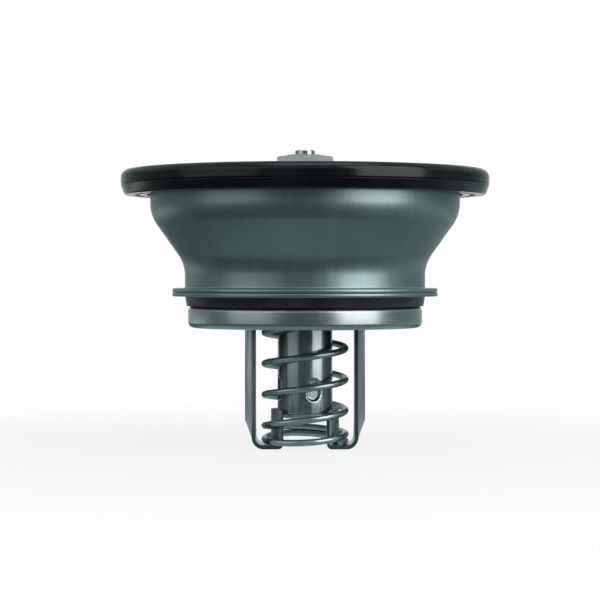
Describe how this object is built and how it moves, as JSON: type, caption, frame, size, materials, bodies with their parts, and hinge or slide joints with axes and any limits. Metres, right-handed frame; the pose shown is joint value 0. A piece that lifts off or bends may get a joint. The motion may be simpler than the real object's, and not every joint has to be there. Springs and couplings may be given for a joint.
{
  "type": "engine thermostat",
  "caption": "Engine coolant valve with a bell-shaped steel housing, rubber flange ring, sliding sleeve, wax element, coil spring and two hooked legs.",
  "frame": {"origin": "on the valve's axis, at the level of the two feet's undersides", "axes": "+Z along the axis from the feet to the pin's upper end, X through the two legs, Y along the bridge"},
  "size_m": [0.11, 0.11, 0.089],
  "materials": {
    "housing_steel": "drawn sheet steel, satin, faint vertical drawing streaks",
    "sleeve_steel": "drawn and burnished steel tube",
    "frame_steel": "stamped strip steel",
    "spring_wire": "drawn spring wire",
    "pin_steel": "ground and polished",
    "capsule_metal": "bright plated brass cup",
    "bearing_brass": "turned",
    "black_rubber": "moulded, slightly glossy",
    "wax": "copper-filled wax",
    "white_disc": "turned low-friction plastic"
  },
  "bodies": {
    "housing": {"bell_housing": "housing_steel", "flange_gasket": "black_rubber", "seal_carrier": "housing_steel", "lip_seal": "black_rubber", "bridge": "frame_steel", "piston_pin": "pin_steel", "seat_plate": "frame_steel", "seat_ring": "black_rubber", "guide_bush": "bearing_brass", "seat_arm_right": "frame_steel", "seat_arm_left": "frame_steel", "arm_rivets": "frame_steel", "leg_right": "frame_steel", "leg_left": "frame_steel", "return_spring": "spring_wire"},
    "valve": {"sleeve": "sleeve_steel", "spider": "frame_steel", "spring_cup": "frame_steel", "capsule": "capsule_metal", "guide_body": "bearing_brass", "backup_disc": "white_disc", "rubber_boot": "black_rubber", "wax_charge": "wax", "wiper_ring": "black_rubber"}
  },
  "joints": [
    {"name": "lift", "type": "slide", "parent": "housing", "child": "valve", "axis": [0, 0, -1], "range_m": [0, 0.008], "stiffness_N_per_m": 8000, "springref_m": -0.004, "deforming": ["return_spring"]}
  ]
}
